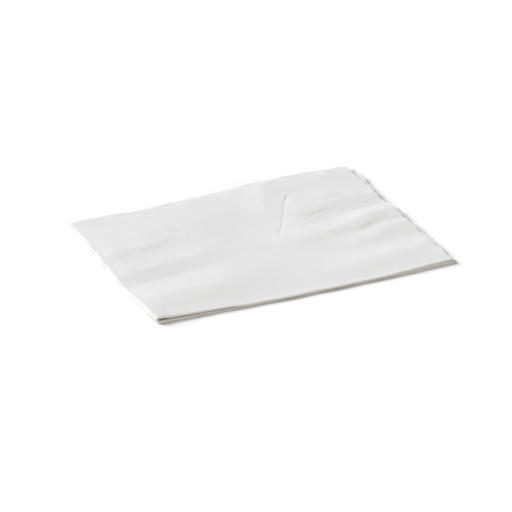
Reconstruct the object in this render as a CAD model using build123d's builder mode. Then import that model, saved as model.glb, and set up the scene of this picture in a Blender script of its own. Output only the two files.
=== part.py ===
from build123d import *
import os
from math import pi

# A square two-ply paper napkin, folded in half twice and lying flat on its last leaf.
# The sheet is folded first along its front edge and then along its left edge, so it lies in four
# leaves that are open at the right and at the back. The bottom leaf lies flat, and each leaf above
# it is rippled more than the one below.
# Millimetres, +Z up, +Y to the back. The origin is the middle of the napkin's box, at its underside.

# The sheet
SHEET_WIDTH = 330.0  # along the first fold
SHEET_DEPTH = 330.0  # across the first fold
LEAF_THICKNESS = 0.3  # two plies of tissue with the air between them

# The folds
PAIR_GAP = 0.3  # air between the two leaves that the first fold joins
MIDDLE_GAP = 0.4  # air between the upper and the lower pair, inside the second fold
FOLD_OFFSET = 1.2  # how far the two middle leaves reach past the outer ones at the back

# The ripples
RIPPLE_HEIGHT = 2.0  # the top leaf's highest lift off its flat place

# How much of the top leaf's lift each leaf takes, from the bottom leaf up
LIFT_SHARES = [0, 0.2, 0.55, 1]

# Where the lift is given, as shares of a leaf's width from the second fold to the open right edge
STATION_SHARES = [0, 0.12, 0.5, 0.75, 1]

# The lift at each of those places: a share of the leaf's depth from the first fold to the open
# back edge, and there a share of the ripple height. Three ripples run in from the left and four
# from the right, and they die out near the middle.
PROFILE_SHARES = [
    [(0, 0), (0.16, 0), (0.3, 0), (0.44, 0), (0.54, 0),
     (0.67, 0), (0.8, 0), (0.9, 0), (1, 0)],
    [(0, 0), (0.16, 0.55), (0.3, 0.1), (0.44, 0.55), (0.54, 0.15),
     (0.67, 0.4), (0.8, 0.25), (0.9, 0.15), (1, 0.1)],
    [(0, 0), (0.12, 0.15), (0.24, 0.2), (0.34, 0.15), (0.45, 0.15),
     (0.56, 0.15), (0.7, 0.2), (0.85, 0.25), (1, 0.3)],
    [(0, 0), (0.15, 0.6), (0.27, 0.2), (0.345, 0.4), (0.385, 0.3), (0.455, 0.7),
     (0.56, 0.25), (0.64, 0.45), (0.78, 0.35), (1, 0.75)],
    [(0, 0), (0.165, 0.75), (0.285, 0.25), (0.37, 0.6), (0.415, 0.4), (0.495, 1),
     (0.6, 0.35), (0.7, 0.7), (0.8, 0.5), (1, 0.95)],
]

# The bends, on the middle of the paper's thickness
half_leaf = LEAF_THICKNESS / 2
first_bend = (PAIR_GAP + LEAF_THICKNESS) / 2
inner_bend = (MIDDLE_GAP + LEAF_THICKNESS) / 2
outer_bend = inner_bend + 2 * first_bend

# The paper keeps its length round each bend, so the outer leaves end short of the middle ones
inner_width = (SHEET_WIDTH - pi * inner_bend) / 2
outer_width = (SHEET_WIDTH - pi * outer_bend) / 2
inner_depth = (SHEET_DEPTH - pi * first_bend + FOLD_OFFSET) / 2
outer_depth = inner_depth - FOLD_OFFSET

# Where the bends begin, with the whole napkin centred on the origin
fold_x = (outer_bend + half_leaf - inner_width) / 2
fold_y = (first_bend + half_leaf - inner_depth) / 2
middle_z = outer_bend + half_leaf

# The four leaves' heights, widths and depths, from the bottom up
leaf_heights = [middle_z - outer_bend, middle_z - inner_bend, middle_z + inner_bend, middle_z + outer_bend]
leaf_widths = [outer_width, inner_width, inner_width, outer_width]
leaf_depths = [outer_depth, inner_depth, inner_depth, outer_depth]
pairs = [(0, 1), (2, 3)]


def leaf_section(level, station):
    """One leaf cut across at one station, from the first fold to the open back edge."""
    lift = LIFT_SHARES[level] * RIPPLE_HEIGHT
    middle = [
        (fold_y + across * leaf_depths[level], leaf_heights[level] + up * lift)
        for across, up in PROFILE_SHARES[station]
    ]
    under = [(y, z - half_leaf) for y, z in middle]
    over = [(y, z + half_leaf) for y, z in middle]
    x = fold_x + STATION_SHARES[station] * leaf_widths[level]
    with BuildSketch(Plane.YZ.offset(x), mode=Mode.PRIVATE) as section:
        with BuildLine():
            Spline(under, tangents=[(1, 0), (1, 0)])
            Line(under[-1], over[-1])
            Spline(over, tangents=[(1, 0), (1, 0)])
            Line(over[0], under[0])
        make_face()
    return section.sketch


def bend_section(lower, upper):
    """The half ring of the first fold that joins two leaves, where the second fold begins."""
    centre = (fold_y, (leaf_heights[lower] + leaf_heights[upper]) / 2)
    with BuildSketch(Plane.YZ.offset(fold_x), mode=Mode.PRIVATE) as section:
        with BuildLine():
            outside = CenterArc(centre, first_bend + half_leaf, start_angle=90, arc_size=180)
            inside = CenterArc(centre, first_bend - half_leaf, start_angle=90, arc_size=180)
            Line(outside @ 0, inside @ 0)
            Line(outside @ 1, inside @ 1)
        make_face()
    return section.sketch


# The first fold, along the front: a bend to each pair, its right end slanted from leaf to leaf
bends = []
for lower, upper in pairs:
    with BuildPart() as bend:
        with BuildSketch(Plane.XZ.offset(-fold_y)):
            with BuildLine():
                Polyline(
                    (fold_x, leaf_heights[lower] - half_leaf),
                    (fold_x + leaf_widths[lower], leaf_heights[lower] - half_leaf),
                    (fold_x + leaf_widths[lower], leaf_heights[lower] + half_leaf),
                    (fold_x + leaf_widths[upper], leaf_heights[upper] - half_leaf),
                    (fold_x + leaf_widths[upper], leaf_heights[upper] + half_leaf),
                    (fold_x, leaf_heights[upper] + half_leaf),
                    close=True,
                )
            make_face()
        extrude(amount=first_bend + half_leaf)
        extrude(bend_section(lower, upper), amount=inner_width, dir=(1, 0, 0), mode=Mode.INTERSECT)
    bends.append(bend.part)

with BuildPart() as napkin:
    # The four leaves, each running from the second fold to the open right edge
    for level in range(len(leaf_heights)):
        loft(sections=[leaf_section(level, s) for s in range(len(STATION_SHARES))], ruled=True)

    # The first fold's bends join them in pairs along the front
    add(bends)

    # The second fold, along the left: the upper pair and its bend turned over onto the lower pair
    turn_axis = Axis((fold_x, 0, middle_z), (0, -1, 0))
    with BuildSketch(Plane.YZ.offset(fold_x)):
        for level in pairs[1]:
            with Locations((fold_y, leaf_heights[level])):
                Rectangle(leaf_depths[level], LEAF_THICKNESS, align=(Align.MIN, Align.CENTER))
    revolve(axis=turn_axis, revolution_arc=180)
    revolve(bend_section(*pairs[1]), axis=turn_axis, revolution_arc=180)

napkin.part.label = "napkin"
os.makedirs("parts", exist_ok=True)
export_step(napkin.part, "parts/napkin.step")
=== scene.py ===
"""The looks of a white paper napkin, folded in half twice and lying flat.

The napkin is one square of two-ply tissue. It is folded here as paper folds: every point of the flat
sheet keeps its distance along the paper from both folds. The folds then bow out a little between their
corners, and the upper leaves lift off the bottom one in soft ridges, with a few fine creases and dents
in the top leaf.
"""

import logging
import math
from dataclasses import dataclass, field
from enum import Enum

import bpy
import numpy as np
from mathutils import Matrix, Vector, noise


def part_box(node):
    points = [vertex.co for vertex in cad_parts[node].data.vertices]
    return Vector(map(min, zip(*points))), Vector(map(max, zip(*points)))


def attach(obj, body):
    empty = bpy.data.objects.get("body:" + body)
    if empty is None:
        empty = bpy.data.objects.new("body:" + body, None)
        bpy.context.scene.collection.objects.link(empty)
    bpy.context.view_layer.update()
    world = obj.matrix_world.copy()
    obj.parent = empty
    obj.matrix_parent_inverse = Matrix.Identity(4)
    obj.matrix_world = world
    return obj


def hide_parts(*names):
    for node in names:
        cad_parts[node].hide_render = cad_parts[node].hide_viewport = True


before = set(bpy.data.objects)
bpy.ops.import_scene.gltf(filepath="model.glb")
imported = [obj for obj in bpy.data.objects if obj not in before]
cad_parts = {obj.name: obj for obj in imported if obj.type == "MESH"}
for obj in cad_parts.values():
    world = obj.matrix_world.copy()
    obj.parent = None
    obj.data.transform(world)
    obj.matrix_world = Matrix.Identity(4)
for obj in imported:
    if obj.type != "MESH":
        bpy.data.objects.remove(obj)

MM = 0.001
PHOTO_PIXELS = 512
LINE_SAMPLES = 33001  # the places, 0.01 mm apart along the sheet, that its lines are spaced from

log = logging.getLogger("paper_napkin")


def linear(hex_colour: str) -> tuple[float, float, float, float]:
    """Turns an sRGB hex colour into the linear colour that Blender's sockets take.

    Args:
        hex_colour: Six hex digits, such as "E8E7E4".

    Returns:
        Red, green, blue and an alpha of 1.
    """
    channels = [int(hex_colour[i:i + 2], 16) / 255 for i in (0, 2, 4)]
    red, green, blue = (c / 12.92 if c <= 0.04045 else ((c + 0.055) / 1.055) ** 2.4 for c in channels)
    return red, green, blue, 1.0


def add_node(
    tree: bpy.types.NodeTree,
    kind: str,
    settings: dict[str, object] | None = None,
    inputs: dict[str, object] | None = None,
) -> bpy.types.Node:
    """Adds one node to a tree, with its settings, its values and its links.

    Args:
        tree: The node tree.
        kind: The node's type, such as "ShaderNodeTexNoise".
        settings: Values for the node's own properties, by name.
        inputs: A value, or an output socket to link from, for each input, by its name.

    Returns:
        The new node.
    """
    node = tree.nodes.new(kind)
    for name, value in (settings or {}).items():
        setattr(node, name, value)
    for name, value in (inputs or {}).items():
        socket = node.inputs[name]
        if isinstance(value, bpy.types.NodeSocket):
            tree.links.new(value, socket)
        else:
            socket.default_value = value
    return node


def smooth_rise(value: np.ndarray, length: float) -> np.ndarray:
    """Rises softly from 0 at a value of 0 to 1 at the given length, and stays there."""
    t = np.clip(value / length, 0, 1)
    return t * t * (3 - 2 * t)


class Profile(Enum):
    """How the paper stands up across a ridge: the lower the power, the sharper the crest."""

    ROUND = 2.0
    FIRM = 1.4
    PINCHED = 1.0


@dataclass(frozen=True)
class Ridge:
    """A long lift of the paper along a crest.

    Places are shares of the folded leaf: across from the left fold to the right edge, and back from
    the front fold to the back edge. Heights and widths are in millimetres.
    """

    crest: tuple[tuple[float, float, float], ...]  # across share, back share, height (minus is a valley)
    left: float  # the width of the slope on the left of the crest's direction
    right: float  # the width of the slope on its right
    profile: Profile = Profile.ROUND

    def lift(self, across: np.ndarray, back: np.ndarray, leaf_mm: float) -> np.ndarray:
        """Works out how high the ridge lifts the paper.

        Args:
            across: Each point's share of the leaf from the left fold.
            back: Each point's share of the leaf from the front fold.
            leaf_mm: The leaf's side.

        Returns:
            The lift at each point, in millimetres.
        """
        nearest = np.full(across.shape, np.inf)
        height = np.zeros(across.shape)
        side = np.ones(across.shape)
        for (x0, y0, h0), (x1, y1, h1) in zip(self.crest, self.crest[1:]):
            dx, dy = (x1 - x0) * leaf_mm, (y1 - y0) * leaf_mm
            px, py = (across - x0) * leaf_mm, (back - y0) * leaf_mm
            along = np.clip((px * dx + py * dy) / (dx * dx + dy * dy), 0, 1)
            distance = np.hypot(px - along * dx, py - along * dy)
            closer = distance < nearest
            nearest = np.where(closer, distance, nearest)
            height = np.where(closer, h0 + along * (h1 - h0), height)
            side = np.where(closer, np.sign(dx * py - dy * px), side)
        reach = nearest / np.where(side > 0, self.left, self.right)
        return height * np.exp(-reach ** self.profile.value)


@dataclass(frozen=True)
class Crumple:
    """A smooth random pattern: the unevenness that tissue keeps, or how far a line or an edge strays."""

    grain_mm: float  # the size of one bump
    height_mm: float
    stretch: float = 1.0  # how much longer a bump is across than back
    seed: float = 0.0

    def lift(self, across_mm: np.ndarray, back_mm: np.ndarray) -> np.ndarray:
        """Works out the pattern's height at each point, from minus to plus height_mm.

        Args:
            across_mm: Distances from the left fold.
            back_mm: Distances from the front fold.

        Returns:
            The lift at each point, in millimetres.
        """
        points = zip((across_mm / self.grain_mm / self.stretch).tolist(), (back_mm / self.grain_mm).tolist())
        return self.height_mm * np.array([noise.noise(Vector((x, y, self.seed))) for x, y in points])


@dataclass(frozen=True)
class Opening:
    """The air between two leaves."""

    share: float  # how much of the room between the bottom and the top leaf it takes
    joined: bool  # whether the first fold joins its two leaves
    # How its share comes and goes. Where the pattern is 0 the share is as given, and where it is 1 the
    # opening claims 2.7 times as much.
    sway: Crumple
    flutter: Crumple  # the same, near the cut edges only

    def weight(self, across_mm: np.ndarray, back_mm: np.ndarray, near_edge: np.ndarray) -> np.ndarray:
        """Works out how strongly this opening claims its share at each point.

        Args:
            across_mm: Distances from the left fold.
            back_mm: Distances from the front fold.
            near_edge: 1 at a cut edge and 0 well inside it.

        Returns:
            The claim at each point, which the claims of the other openings are set against.
        """
        sway = self.sway.lift(across_mm, back_mm) + near_edge * self.flutter.lift(across_mm, back_mm)
        return self.share * np.exp(sway)


# The napkin's ridges, and the valleys between them, whose heights are minus. The first six run in from
# the open right edge and die out near the middle, and the last four run in from the second fold.
RIDGES = (
    Ridge(((0.60, 0.64, 0.0), (0.67, 0.665, 0.9), (0.74, 0.685, 1.7), (0.82, 0.70, 1.7), (0.90, 0.715, 1.5),
           (1.04, 0.72, 0.8)), left=85, right=13),
    Ridge(((0.66, 0.55, 0.0), (0.73, 0.55, -0.6), (0.82, 0.565, -0.8), (0.92, 0.595, -0.9),
           (1.04, 0.62, -0.5)), left=14, right=20, profile=Profile.PINCHED),
    Ridge(((0.56, 0.41, 0.0), (0.64, 0.435, 0.7), (0.72, 0.46, 1.5), (0.79, 0.49, 2.1), (0.90, 0.52, 2.4),
           (1.04, 0.54, 2.1)), left=32, right=15, profile=Profile.FIRM),
    Ridge(((0.66, 0.39, 0.0), (0.73, 0.395, -0.4), (0.80, 0.405, -0.6), (0.88, 0.42, -0.5),
           (0.96, 0.445, -0.5), (1.04, 0.46, -0.3)), left=10, right=8, profile=Profile.PINCHED),
    Ridge(((0.70, 0.29, 0.0), (0.78, 0.315, 0.6), (0.85, 0.35, 1.3), (0.91, 0.37, 1.5), (1.04, 0.38, 0.9)),
          left=22, right=12, profile=Profile.FIRM),
    Ridge(((0.60, 0.11, 0.0), (0.72, 0.14, 0.6), (0.84, 0.16, 1.1), (1.04, 0.165, 1.1)), left=13, right=17),
    Ridge(((-0.02, 0.155, 1.7), (0.10, 0.165, 1.8), (0.22, 0.18, 1.7), (0.38, 0.23, 0.8), (0.54, 0.30, 0.0)),
          left=20, right=16),
    Ridge(((-0.02, 0.425, 1.3), (0.10, 0.44, 1.3), (0.25, 0.465, 1.0), (0.38, 0.48, 0.5), (0.50, 0.50, 0.0)),
          left=24, right=12, profile=Profile.FIRM),
    Ridge(((-0.02, 0.325, -0.5), (0.10, 0.335, -0.5), (0.22, 0.355, -0.4), (0.34, 0.38, 0.0)),
          left=9, right=14, profile=Profile.PINCHED),
    Ridge(((0.0, 0.61, 0.5), (0.10, 0.64, 0.6), (0.18, 0.67, 0.8), (0.25, 0.695, 0.4), (0.31, 0.72, 0.0)),
          left=45, right=8),
)

# Broad swells: the front corners stand up and the first fold settles between them. The back edge stands
# up from its middle to the right, and the leaf rises gently at the back left.
SWELLS = (
    Ridge(((-0.04, 0.02, 1.2), (0.08, 0.02, 0.9), (0.20, 0.01, 0.3), (0.30, 0.0, 0.0)), left=16, right=14),
    Ridge(((0.74, 0.0, 0.0), (0.88, 0.0, 0.3), (1.04, 0.0, 0.6)), left=16, right=16),
    Ridge(((0.24, 0.0, 0.0), (0.36, 0.0, -0.4), (0.70, 0.0, -0.4), (0.84, 0.0, 0.0)), left=12, right=12),
    Ridge(((0.30, 1.05, 0.0), (0.47, 1.05, 0.8), (0.62, 1.05, 1.2), (0.74, 1.05, 1.3), (0.86, 1.05, 1.2),
           (1.04, 1.05, 0.7)), left=36, right=36),
    Ridge(((0.05, 0.70, 0.5), (0.20, 0.68, 0.8), (0.34, 0.62, 0.6), (0.46, 0.58, 0.0)), left=55, right=50),
    Ridge(((-0.02, 0.62, 0.9), (0.05, 0.63, 0.6), (0.14, 0.645, 0.0)), left=58, right=20),
)

# The fine creases, which are narrow pinches of the top leaf up or down, and its small dents
CREASES = (
    Ridge(((0.715, 0.832, 0.0), (0.707, 0.816, -0.34), (0.685, 0.777, -0.26), (0.668, 0.73, 0.0)),
          left=1.2, right=0.8, profile=Profile.PINCHED),
    Ridge(((0.683, 0.775, 0.0), (0.667, 0.73, -0.18), (0.640, 0.66, -0.22), (0.611, 0.592, -0.26),
           (0.582, 0.53, -0.24), (0.574, 0.488, 0.0)), left=1.1, right=0.8, profile=Profile.PINCHED),
    Ridge(((0.715, 0.83, 0.0), (0.706, 0.813, -0.15), (0.685, 0.775, -0.12), (0.673, 0.74, 0.0)),
          left=2.2, right=0.6, profile=Profile.PINCHED),
    Ridge(((0.674, 1.02, 0.4), (0.650, 0.92, 0.7), (0.612, 0.78, 0.4), (0.585, 0.66, 0.0)), left=16, right=14,
          profile=Profile.PINCHED),
    Ridge(((0.674, 1.02, 0.1), (0.650, 0.92, 0.2), (0.612, 0.78, 0.2), (0.585, 0.66, 0.0)), left=5, right=2.5,
          profile=Profile.PINCHED),
    Ridge(((0.703, 0.597, 0.0), (0.723, 0.612, -0.3), (0.743, 0.627, -0.15), (0.754, 0.637, 0.15),
           (0.767, 0.648, 0.35), (0.779, 0.66, 0.0)), left=0.8, right=0.8, profile=Profile.PINCHED),
    Ridge(((0.775, 0.742, 0.0), (0.835, 0.755, 0.45), (0.88, 0.768, 0.0)), left=11, right=2.4),
    Ridge(((0.11, 0.595, 0.0), (0.14, 0.605, 0.2), (0.18, 0.62, 0.2), (0.22, 0.63, 0.0)), left=9, right=1.8),
    Ridge(((0.25, 0.74, 0.0), (0.275, 0.745, 0.5), (0.30, 0.755, 0.0)), left=14, right=2.4),
    Ridge(((0.285, 0.675, 0.0), (0.305, 0.68, 0.3), (0.33, 0.69, 0.0)), left=10, right=2.2),
    Ridge(((0.80, 0.425, 0.0), (0.84, 0.44, 0.5), (0.88, 0.462, 0.5), (0.94, 0.49, 0.0)), left=12, right=2.6),
)

# Unevenness of the top leaf: broad, middling and small
CRUMPLES = (
    Crumple(38, 0.30, 1.5, 21.9),
    Crumple(14, 0.16, 1.5, 5.3),
    Crumple(6.5, 0.06, 1.0, 8.8),
)

# The air between the leaves, from the bottom one up
OPENINGS = (
    Opening(0.22, True, Crumple(30, 1.6, 1.3, 3.7), Crumple(9, 2.0, 1.0, 13.1)),
    Opening(0.36, False, Crumple(27, 1.4, 1.5, 11.2), Crumple(11, 1.8, 1.0, 17.6)),
    Opening(0.42, True, Crumple(24, 1.4, 1.2, 31.4), Crumple(8, 2.0, 1.0, 26.9)),
)


@dataclass(frozen=True)
class TissueFinish:
    """Bleached two-ply tissue: matt, soft and faintly mottled, because its fibres lie thick and thin."""

    thick: str = "E3E3E3"
    thin: str = "DEDEDE"
    mottle_mm: float = 4.0  # the clouds of a real tissue are 2 to 5 mm wide
    fibre_mm: float = 0.4  # real fibres are 0.02 mm wide, which is too fine to show, so tufts stand for them
    crepe_mm: float = 0.8  # real crepe is 0.3 mm from crest to crest, which is too fine to show
    crepe_stretch: float = 5.0  # how much longer a line of the crepe is than it is wide
    crepe_depth_mm: float = 0.11
    roughness: float = 0.95
    gloss: float = 0.2
    fuzz: float = 0.1  # the sheen of the fibre ends
    fuzz_roughness: float = 0.6
    soak: float = 0.35  # the share of light that goes into the paper and comes out beside or behind
    soak_mm: float = 0.5
    soak_colours: tuple[float, float, float] = (1.0, 0.96, 0.9)  # how far red, green and blue light soak

    def material(self) -> bpy.types.Material:
        """Makes the tissue's material.

        Returns:
            A material whose pattern lies on the flat sheet, through the UV map named "sheet".
        """
        made = bpy.data.materials.new("bleached_tissue")
        made.use_nodes = True
        tree = made.node_tree
        tree.nodes.clear()
        sheet = add_node(tree, "ShaderNodeUVMap", {"uv_map": "sheet"})

        # Clouds of thicker and thinner fibre, which give the white its slight mottle
        mottle = add_node(tree, "ShaderNodeTexNoise", inputs={
            "Vector": sheet.outputs["UV"],
            "Scale": 1 / (self.mottle_mm * MM),
            "Detail": 3.0,
            "Roughness": 0.6,
        })
        cloud = add_node(tree, "ShaderNodeMix", {"data_type": "RGBA"}, {
            "Factor": mottle.outputs["Fac"]})
        cloud.inputs["A"].default_value = linear(self.thin)
        cloud.inputs["B"].default_value = linear(self.thick)

        # Crepe lines run along the sheet, with tufts of fibre over them
        along = add_node(tree, "ShaderNodeMapping", inputs={
            "Vector": sheet.outputs["UV"], "Scale": (1 / self.crepe_stretch, 1.0, 1.0)})
        crepe = add_node(tree, "ShaderNodeTexNoise", inputs={
            "Vector": along.outputs["Vector"], "Scale": 1 / (self.crepe_mm * MM), "Detail": 2.0})
        tufts = add_node(tree, "ShaderNodeTexNoise", inputs={
            "Vector": sheet.outputs["UV"],
            "Scale": 1 / (self.fibre_mm * MM),
            "Detail": 4.0,
            "Roughness": 0.7,
        })
        height = add_node(tree, "ShaderNodeMath", {"operation": "ADD"}, {
            0: crepe.outputs["Fac"], 1: tufts.outputs["Fac"]})
        bump = add_node(tree, "ShaderNodeBump", inputs={
            "Height": height.outputs["Value"], "Strength": 1.0, "Distance": self.crepe_depth_mm * MM})

        # Dry and fuzzy: hardly any gloss, a faint sheen from the fibre ends, and light that soaks a little
        # way in
        paper = add_node(tree, "ShaderNodeBsdfPrincipled", inputs={
            "Base Color": cloud.outputs["Result"],
            "Roughness": self.roughness,
            "Normal": bump.outputs["Normal"],
            "Specular IOR Level": self.gloss,
            "Sheen Weight": self.fuzz,
            "Sheen Roughness": self.fuzz_roughness,
            "Subsurface Weight": self.soak,
            "Subsurface Radius": self.soak_colours,
            "Subsurface Scale": self.soak_mm * MM,
        })
        add_node(tree, "ShaderNodeOutputMaterial", inputs={"Surface": paper.outputs["BSDF"]})
        return made


@dataclass(frozen=True)
class FineStrips:
    """Where the sheet is modelled in narrow strips, because a fine crease runs there."""

    middle: float  # its distance from the fold along the paper
    reach: float  # how far it goes on each side of its middle
    strip: float  # how wide each strip is


@dataclass
class Napkin:
    """The folded sheet.

    The first fold joins the leaves in pairs along the front, and the second fold turns one pair over
    the other along the left. The bottom leaf lies flat, at the bottom of the frame's box.
    """

    low: Vector  # the lowest corner of the frame's box
    high: Vector  # its highest corner
    side: float = 330 * MM  # of the open sheet
    leaf: float = 0.3 * MM  # the paper's thickness, both plies
    fold_offset: float = 1.2 * MM  # how far the middle leaves reach past the outer ones at the back
    finish: TissueFinish = field(default_factory=TissueFinish)

    # How the paper goes round the folds, and how high the leaves lie. A bend is given by its radius, to the
    # middle of the paper.
    first_bend: float = 0.24 * MM
    first_puff: float = 0.2 * MM  # how much rounder the first fold is at its ends
    second_bend: float = 0.26 * MM
    nearest: float = 0.36 * MM  # how close two leaves lie away from their fold, from middle to middle
    fold_share: float = 0.65  # how much of a ridge's height is left where it meets the second fold
    settled: float = 1.45 * MM  # how high the top leaf lies over the bottom one where no ridge lifts it
    aim_rise: float = 0.75 * MM  # how much higher than that the camera aims, among the ridges
    # How far the ridges' lines wander, across and back
    wander: tuple[Crumple, Crumple] = (Crumple(24, 3.0, 1.0, 40.5), Crumple(18, 2.2, 1.0, 61.1))
    left_slope: float = 9 * MM  # how far in from the second fold the leaves reach their own heights
    front_slope: float = 7 * MM  # how far in from the first fold the leaves of a pair part
    edge_reach: float = 12 * MM  # how far in from a cut edge the leaves flutter
    edge_lift: Crumple = Crumple(9, 0.4, 1.0, 44.2)  # how much the top leaf flutters there
    corner_puff: float = 0.15 * MM  # how much rounder the second fold is at the doubly folded corner
    corner_reach: float = 24 * MM

    # How far the folding and the cutting stray from true
    first_skew: float = 0.008  # the slope of the first fold on the flat sheet
    second_skew: float = 0.002  # the slope at which the upper pair lies over the lower one
    front_bow: float = 4.0 * MM  # how far the upper pair's first fold bows out between its corners
    lower_bow: float = 0.6  # the lower pair's bow, as a share of that
    front_fullness: float = 1.2  # over 1, the bow is fullest right of the fold's middle
    left_bow: float = 1.8 * MM  # how far the second fold bows out
    left_fullness: float = 0.7  # under 1, it is fullest in front of the fold's middle
    edge_stray: tuple[Crumple, ...] = (Crumple(26, 1.6), Crumple(6, 0.9))
    cut_reach: float = 6 * MM  # how far in from a cut edge the paper strays with it
    fold_stray: Crumple = Crumple(13, 0.8, 1.0, 70.3)

    # The rows of those patterns that the folds and the cut edges take
    upper_row: float = 0.0
    lower_row: float = 40.0
    left_row: float = 80.0
    cut_row: float = 90.0  # is minus at the right for the lower pair, and at the back for the middle leaves
    right_cut: float = 2.2  # is added at the right edges
    back_cut: float = 7.7  # is added at the back edges

    # How wide the strips are that the sheet is modelled in
    lower_strip: float = 2.6 * MM
    upper_strip: float = 1.5 * MM
    fine_across: tuple[FineStrips, ...] = (FineStrips(110 * MM, 4.5 * MM, 0.35 * MM),
                                           FineStrips(123 * MM, 7 * MM, 0.5 * MM))
    fine_back: tuple[FineStrips, ...] = (FineStrips(104 * MM, 6.5 * MM, 0.5 * MM),)
    crease_middle: tuple[float, float] = (110 * MM, 116 * MM)  # from the second and from the first fold
    crease_reach: float = 26 * MM  # half the crease's length, across the first fold
    crease_lean: float = 0.41  # how far it leans across for its length
    crease_sway: float = 24 * MM  # how far from the crease the strips lean with it
    bend_parts: int = 9  # how many strips go round each bend
    strip_growth: float = 0.3  # how much wider each strip is for its distance from the bend
    smooth_angle: float = 50  # the faces shade as one where they meet at less than this

    def __post_init__(self) -> None:
        """Works out where the bends begin."""
        self.fold_x = self.low.x + self.second_bend + 2 * self.first_bend + self.leaf / 2
        self.fold_y = self.low.y + self.first_bend + self.leaf / 2
        self.leaf_side = self.high.x - self.fold_x

    def strip_lines(self, bend: float, fine_places: tuple[FineStrips, ...]) -> np.ndarray:
        """Spaces the sheet's lines along one direction, close together round the fold.

        Args:
            bend: The half length of paper that goes round the fold.
            fine_places: Where the lines are also close together.

        Returns:
            Each line's distance from the fold along the paper, from the lower edge to the upper one.
        """
        half = self.side / 2
        places = np.linspace(-half, half, LINE_SAMPLES)
        strip = np.where(places < 0, self.lower_strip, self.upper_strip)
        for fine in fine_places:
            strip = np.where(np.abs(places - fine.middle) < fine.reach, np.minimum(strip, fine.strip), strip)
        beyond = np.maximum(np.abs(places) - bend, 0)
        strip = np.minimum(strip, 2 * bend / self.bend_parts + self.strip_growth * beyond)
        count = np.cumsum(1 / strip)
        count = (count - count[0]) / (count[-1] - count[0])
        strips = round(np.sum(1 / strip) * (places[1] - places[0]))
        return np.interp(np.linspace(0, 1, strips + 1), count, places)

    def ridges(self, across_mm: np.ndarray, back_mm: np.ndarray) -> np.ndarray:
        """Adds up the ridges, whose lines wander a little.

        Args:
            across_mm: Distances from the left fold.
            back_mm: Distances from the front fold.

        Returns:
            The lift at each point, in millimetres.
        """
        leaf_mm = self.leaf_side / MM
        stray_across, stray_back = (crumple.lift(across_mm, back_mm) for crumple in self.wander)
        x_share = (across_mm + stray_across) / leaf_mm
        y_share = (back_mm + stray_back) / leaf_mm
        return sum(ridge.lift(x_share, y_share, leaf_mm) for ridge in RIDGES + SWELLS)

    def turn_radius(self, back: np.ndarray) -> np.ndarray:
        """Works out the inside bend of the second fold, rounder at the corner and where a ridge meets it."""
        ridges = self.fold_share / 2 * self.ridges(0 * back, back / MM) * MM
        return self.second_bend + ridges + self.corner_puff * np.exp(-(back / self.corner_reach) ** 2)

    def bend_radius(self, across: np.ndarray, back: np.ndarray) -> np.ndarray:
        """Works out the bend of the first fold, rounder at its two ends."""
        ends = np.minimum(across, np.maximum(self.leaf_side - across, 0))
        return self.first_bend + self.first_puff * np.exp(-(ends ** 2 + back ** 2) / self.corner_reach ** 2)

    def leaf_heights(
        self, across: np.ndarray, back: np.ndarray, fold: np.ndarray, bend: np.ndarray,
    ) -> np.ndarray:
        """Works out how high each leaf lies over the bottom one.

        Args:
            across: Each point's distance from the left fold, over the table.
            back: Each point's distance from the front fold, over the table.
            fold: How high the top leaf lies where it leaves the second fold.
            bend: The bend of the first fold in front of each point.

        Returns:
            One row for each leaf, from the bottom one up.
        """
        leaf_mm = self.leaf_side / MM
        across_mm, back_mm = across / MM, back / MM
        inside = self.leaf_side - np.maximum(across, back)
        near_edge = 1 - smooth_rise(inside, self.edge_reach)

        free = self.settled / MM + self.ridges(across_mm, back_mm)
        free += sum(crease.lift(across_mm / leaf_mm, back_mm / leaf_mm, leaf_mm) for crease in CREASES)
        free += sum(crumple.lift(across_mm, back_mm) for crumple in CRUMPLES)
        free += near_edge * self.edge_lift.lift(across_mm, back_mm)

        # The leaves never lie closer than the paper's thickness and its bends let them: a free height
        # below that is eased back up to it. The room above it is shared out among the openings.
        from_left = smooth_rise(across, self.left_slope)
        joined = from_left * smooth_rise(back, self.front_slope)
        bends = 2 * np.vstack((bend, np.full(bend.shape, self.second_bend), bend))
        closest = bends + (self.nearest - bends) * np.vstack((joined, from_left, joined))
        room = fold + from_left * (free * MM - fold) - closest.sum(axis=0)
        room = (room + np.hypot(room, self.first_bend)) / 2 * from_left + room * (1 - from_left)
        weights = [opening.weight(across_mm, back_mm, near_edge) * (joined if opening.joined else 1)
                   for opening in OPENINGS]
        gaps = closest + room * weights / sum(weights)
        return np.vstack((np.zeros(across.shape), np.cumsum(gaps, axis=0)))

    def folded(self, u: np.ndarray, v: np.ndarray) -> np.ndarray:
        """Folds points of the flat sheet.

        Args:
            u: Each point's distance along the paper from the second fold.
            v: Each point's distance along the paper from the first fold.

        Returns:
            The folded points, one row each.
        """
        # The first fold runs a little askew: how far back each point lies, and on which side of its pair
        u, v = u - self.first_skew * v, v + self.first_skew * u
        bend = self.bend_radius(np.abs(u), np.abs(v))
        turn = np.clip(np.abs(v) / bend, 0, math.pi / 2)
        beyond = np.maximum(np.abs(v) - math.pi / 2 * bend, 0)
        back = beyond - bend * np.cos(turn)
        side = np.sign(v) * np.sin(turn)

        # The second fold turns each point on its own radius, about a line that is slightly askew too
        askew = self.second_skew / 2 * beyond
        past = u - askew
        inside = self.turn_radius(beyond)
        radius = inside + bend * (1 + side)
        turn = np.clip(np.abs(past) / radius, 0, math.pi / 2)
        flat = np.maximum(np.abs(past) - math.pi / 2 * radius, 0)
        across = flat - radius * np.cos(turn) - askew
        up = np.sign(past) * np.sin(turn)
        upper = past > 0
        back = back + np.where(upper, self.second_skew * flat, 0)

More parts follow.
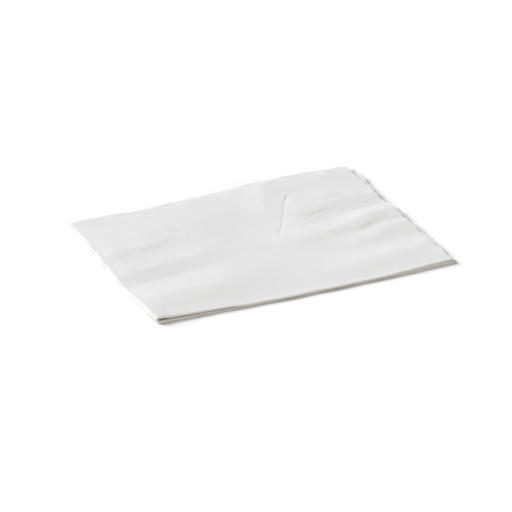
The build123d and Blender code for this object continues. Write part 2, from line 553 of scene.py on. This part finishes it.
        # The outer leaves are at the bottom and at the top, the inner ones between them
        fold = 4 * bend + 2 * inside
        rows = self.leaf_heights(flat, beyond, fold, bend)
        outward = (side + 1) / 2
        over = rows[2] + (rows[3] - rows[2]) * outward - fold + 2 * bend * (1 - outward)
        under = rows[1] + (rows[0] - rows[1]) * outward - 2 * bend * (1 - outward)
        centre = self.low.z + self.leaf / 2 + fold / 2
        height = centre + up * radius + np.where(upper, over, under)

        # The folds bow out between their corners
        x_share, y_share = flat / self.leaf_side, beyond / self.leaf_side
        bow = self.front_bow * np.sin(math.pi * np.clip(x_share, 0, 1) ** self.front_fullness)
        bow *= np.where(upper, 1.0, self.lower_bow)
        stray = self.fold_stray.lift(flat / MM, np.where(upper, self.upper_row, self.lower_row))
        bow += stray * smooth_rise(flat, self.corner_reach) * MM
        bulge = self.left_bow * np.sin(math.pi * np.clip(y_share, 0, 1) ** self.left_fullness)
        bulge += self.fold_stray.lift(beyond / MM, np.full(beyond.shape, self.left_row)) * MM
        return np.column_stack((
            self.fold_x + across - bulge * (1 - x_share) ** 2,
            self.fold_y + back - bow * (1 - y_share) ** 2,
            height))

    def cut_edge(self, along: np.ndarray, out: np.ndarray, seed: float) -> np.ndarray:
        """Lets the paper stray a little near its cut edges, as a blade leaves it.

        Args:
            along: Each point's place along the edge.
            out: Each point's place towards the edge, from the middle of the sheet.
            seed: Which edge pattern is used.

        Returns:
            The new place of each point towards the edge.
        """
        near = smooth_rise(np.abs(out) - (self.side / 2 - self.cut_reach), self.cut_reach)
        row = np.sign(out) * self.cut_row + seed
        stray = sum(crumple.lift(along / MM, row) for crumple in self.edge_stray)
        return out + near * stray * MM

    def sheet_mesh(self) -> bpy.types.Object:
        """Adds the flat sheet as a grid with its UV map, and folds it.

        Returns:
            The sheet, one surface thick.
        """
        widest = self.first_bend + self.first_puff
        u_lines = self.strip_lines(math.pi / 2 * (self.second_bend + 2 * widest), self.fine_across)
        v_lines = self.strip_lines(math.pi / 2 * widest, self.fine_back)
        bpy.ops.object.select_all(action="DESELECT")
        bpy.ops.mesh.primitive_grid_add(
            x_subdivisions=len(u_lines) - 1, y_subdivisions=len(v_lines) - 1, size=2, location=(0, 0, 0))
        sheet = bpy.context.object
        sheet.name = "folded_napkin"
        mesh = sheet.data
        places = np.empty(len(mesh.vertices) * 3)
        mesh.vertices.foreach_get("co", places)
        places = places.reshape(-1, 3)
        u = u_lines[np.rint((places[:, 0] + 1) / 2 * (len(u_lines) - 1)).astype(int)]
        v = v_lines[np.rint((places[:, 1] + 1) / 2 * (len(v_lines) - 1)).astype(int)]

        # The lines follow the folds, which run askew, and lie straight along the cut edges
        half = self.side / 2
        follow_u = (self.first_skew * v + self.second_skew / 2 * np.abs(v)) * (1 - np.abs(u) / half)
        follow_v = (self.first_skew * u + self.fold_offset / 2) * (1 - np.abs(v) / half)
        u, v = u + follow_u, v - follow_v

        # They lean with the longest crease where they pass it
        across, back = self.crease_middle
        lean = self.crease_lean * np.clip(v - back, -self.crease_reach, self.crease_reach)
        lean = lean * smooth_rise(v, back - self.crease_reach)
        u = u + lean * np.exp(-((u - across) / self.crease_sway) ** 2)

        loops = np.empty(len(mesh.loops), dtype=np.int32)
        mesh.loops.foreach_get("vertex_index", loops)
        mesh.uv_layers[0].name = "sheet"
        mesh.uv_layers["sheet"].data.foreach_set("uv", np.column_stack((u, v))[loops].ravel())
        cut_u, cut_v = self.cut_edge(v, u, self.right_cut), self.cut_edge(u, v, self.back_cut)
        mesh.vertices.foreach_set("co", self.folded(cut_u, cut_v + self.fold_offset / 2).ravel())
        mesh.update()
        return sheet

    def build(self) -> bpy.types.Object:
        """Returns:
            The finished napkin.
        """
        napkin = self.sheet_mesh()
        walls = napkin.modifiers.new("two_plies", "SOLIDIFY")
        walls.thickness = self.leaf
        walls.offset = 0
        bpy.ops.object.modifier_apply(modifier=walls.name)
        bpy.ops.object.shade_smooth_by_angle(angle=math.radians(self.smooth_angle))
        napkin.data.materials.append(self.finish.material())
        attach(napkin, "root")
        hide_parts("napkin")
        log.info("%s: %d faces", napkin.name, len(napkin.data.polygons))
        return napkin


@dataclass
class PhotoCamera:
    """The camera at the photograph's viewing angle, with a long lens that looks at the top leaf."""

    target: Vector
    width: float  # of the napkin, in which the distances below are given
    azimuth: float = -16.5  # 0 is straight in front, and minus is to the left
    elevation: float = 20.6
    roll: float = -5.5
    focal_pixels: float = 3913  # the focal length, in pixels of the photograph
    distance_widths: float = 12.8
    drop_widths: float = 0.051  # how far the camera stands below the line to its target
    left_widths: float = 0.008  # how far it stands to the left of that line
    sensor_mm: float = 36
    clip_end: float = 20

    def build(self) -> bpy.types.Object:
        """Adds the camera and makes it the scene's own.

        Returns:
            The camera.
        """
        turn, rise, roll = (math.radians(a) for a in (self.azimuth, self.elevation, self.roll))
        behind = Vector((math.sin(turn) * math.cos(rise), -math.cos(turn) * math.cos(rise), math.sin(rise)))
        level = Vector((math.cos(turn), math.sin(turn), 0))
        upright = behind.cross(level)
        right = math.cos(roll) * level + math.sin(roll) * upright
        up = -math.sin(roll) * level + math.cos(roll) * upright
        aside = self.drop_widths * up + self.left_widths * right
        place = self.target + self.width * (self.distance_widths * behind - aside)
        bpy.ops.object.camera_add(location=place)
        camera = bpy.context.object
        camera.name = "photo_camera"
        camera.rotation_euler = Matrix((right, up, behind)).transposed().to_euler()
        camera.data.sensor_width = self.sensor_mm
        camera.data.lens = self.focal_pixels * self.sensor_mm / PHOTO_PIXELS
        camera.data.clip_end = self.clip_end
        bpy.context.scene.camera = camera
        log.info("camera: %.0f mm lens", camera.data.lens)
        return camera


@dataclass(frozen=True)
class Sun:
    """A large soft light, far away."""

    name: str
    azimuth: float  # 0 is straight behind the napkin, and minus is to the left
    elevation: float
    level: float  # how bright it makes a white surface that faces it
    angle: float  # how wide it is in the sky
    colour: str

    def build(self) -> bpy.types.Object:
        """Adds the light.

        Returns:
            The lamp.
        """
        turn, rise = math.radians(self.azimuth), math.radians(self.elevation)
        towards = Vector((math.sin(turn) * math.cos(rise), math.cos(turn) * math.cos(rise), math.sin(rise)))
        bpy.ops.object.light_add(type="SUN", location=towards)
        lamp = bpy.context.object
        lamp.name = self.name
        lamp.rotation_euler = towards.to_track_quat("Z", "Y").to_euler()
        lamp.data.angle = math.radians(self.angle)
        lamp.data.energy = self.level * math.pi
        lamp.data.color = linear(self.colour)[:3]
        return lamp


@dataclass
class Studio:
    """A white floor under a soft white sky, with two lamps.

    The stronger lamp shines from the back left, and the weak one from low in front.
    """

    floor_z: float
    floor_side: float = 12.0
    floor_drop: float = 0.05 * MM  # a hair, so that the floor and the paper that lies on it don't coincide
    key: Sun = Sun("soft_key", azimuth=-30, elevation=28, level=1.46, angle=36, colour="FDFEFF")
    fill: Sun = Sun("front_fill", azimuth=163, elevation=4, level=0.62, angle=40, colour="FFF6E8")
    sky_strength: float = 0.27
    floor_seen: str = "FFFFFF"
    floor_bounce: str = "E8E3DA"
    sky_lit: str = "FFFFFF"

    def floor(self) -> None:
        """Adds the floor, which is white to the camera and a little darker as a source of bounced light."""
        height = self.floor_z - self.floor_drop
        bpy.ops.mesh.primitive_plane_add(size=self.floor_side, location=(0, 0, height))
        floor = bpy.context.object
        floor.name = "floor"
        made = bpy.data.materials.new("white_paper_floor")
        made.use_nodes = True
        tree = made.node_tree
        tree.nodes.clear()
        path = add_node(tree, "ShaderNodeLightPath")
        tone = add_node(tree, "ShaderNodeMix", {"data_type": "RGBA"}, {
            "Factor": path.outputs["Is Camera Ray"]})
        tone.inputs["A"].default_value = linear(self.floor_bounce)
        tone.inputs["B"].default_value = linear(self.floor_seen)
        matt = add_node(tree, "ShaderNodeBsdfDiffuse", inputs={"Color": tone.outputs["Result"]})
        add_node(tree, "ShaderNodeOutputMaterial", inputs={"Surface": matt.outputs["BSDF"]})
        floor.data.materials.append(made)

    def sky(self) -> None:
        """Lights the scene from all round, and is plain white where the camera sees it."""
        world = bpy.data.worlds.new("studio_sky")
        world.use_nodes = True
        tree = world.node_tree
        tree.nodes.clear()
        path = add_node(tree, "ShaderNodeLightPath")
        strength = add_node(tree, "ShaderNodeMix", {"data_type": "FLOAT"}, {
            "Factor": path.outputs["Is Camera Ray"], "A": self.sky_strength, "B": 1.0})
        light = add_node(tree, "ShaderNodeBackground", inputs={
            "Color": linear(self.sky_lit), "Strength": strength.outputs["Result"]})
        add_node(tree, "ShaderNodeOutputWorld", inputs={"Surface": light.outputs["Background"]})
        bpy.context.scene.world = world

    def build(self) -> None:
        """Adds the floor, the sky and the two lamps, and sets how colours are shown."""
        self.floor()
        self.sky()
        self.key.build()
        self.fill.build()
        bpy.context.scene.view_settings.view_transform = "Standard"
        log.info("studio: key %.2f, sky %.2f", self.key.level, self.sky_strength)


def main() -> None:
    """Builds the napkin, its studio and the camera."""
    logging.basicConfig(level=logging.INFO, format="%(name)s %(message)s")
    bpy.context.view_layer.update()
    low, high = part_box("napkin")
    napkin = Napkin(low, high)
    napkin.build()
    Studio(floor_z=low.z).build()
    top = low.z + napkin.settled + napkin.aim_rise
    target = Vector(((low.x + high.x) / 2, (low.y + high.y) / 2, top))
    PhotoCamera(target, width=high.x - low.x).build()


if __name__ == "__main__":
    main()
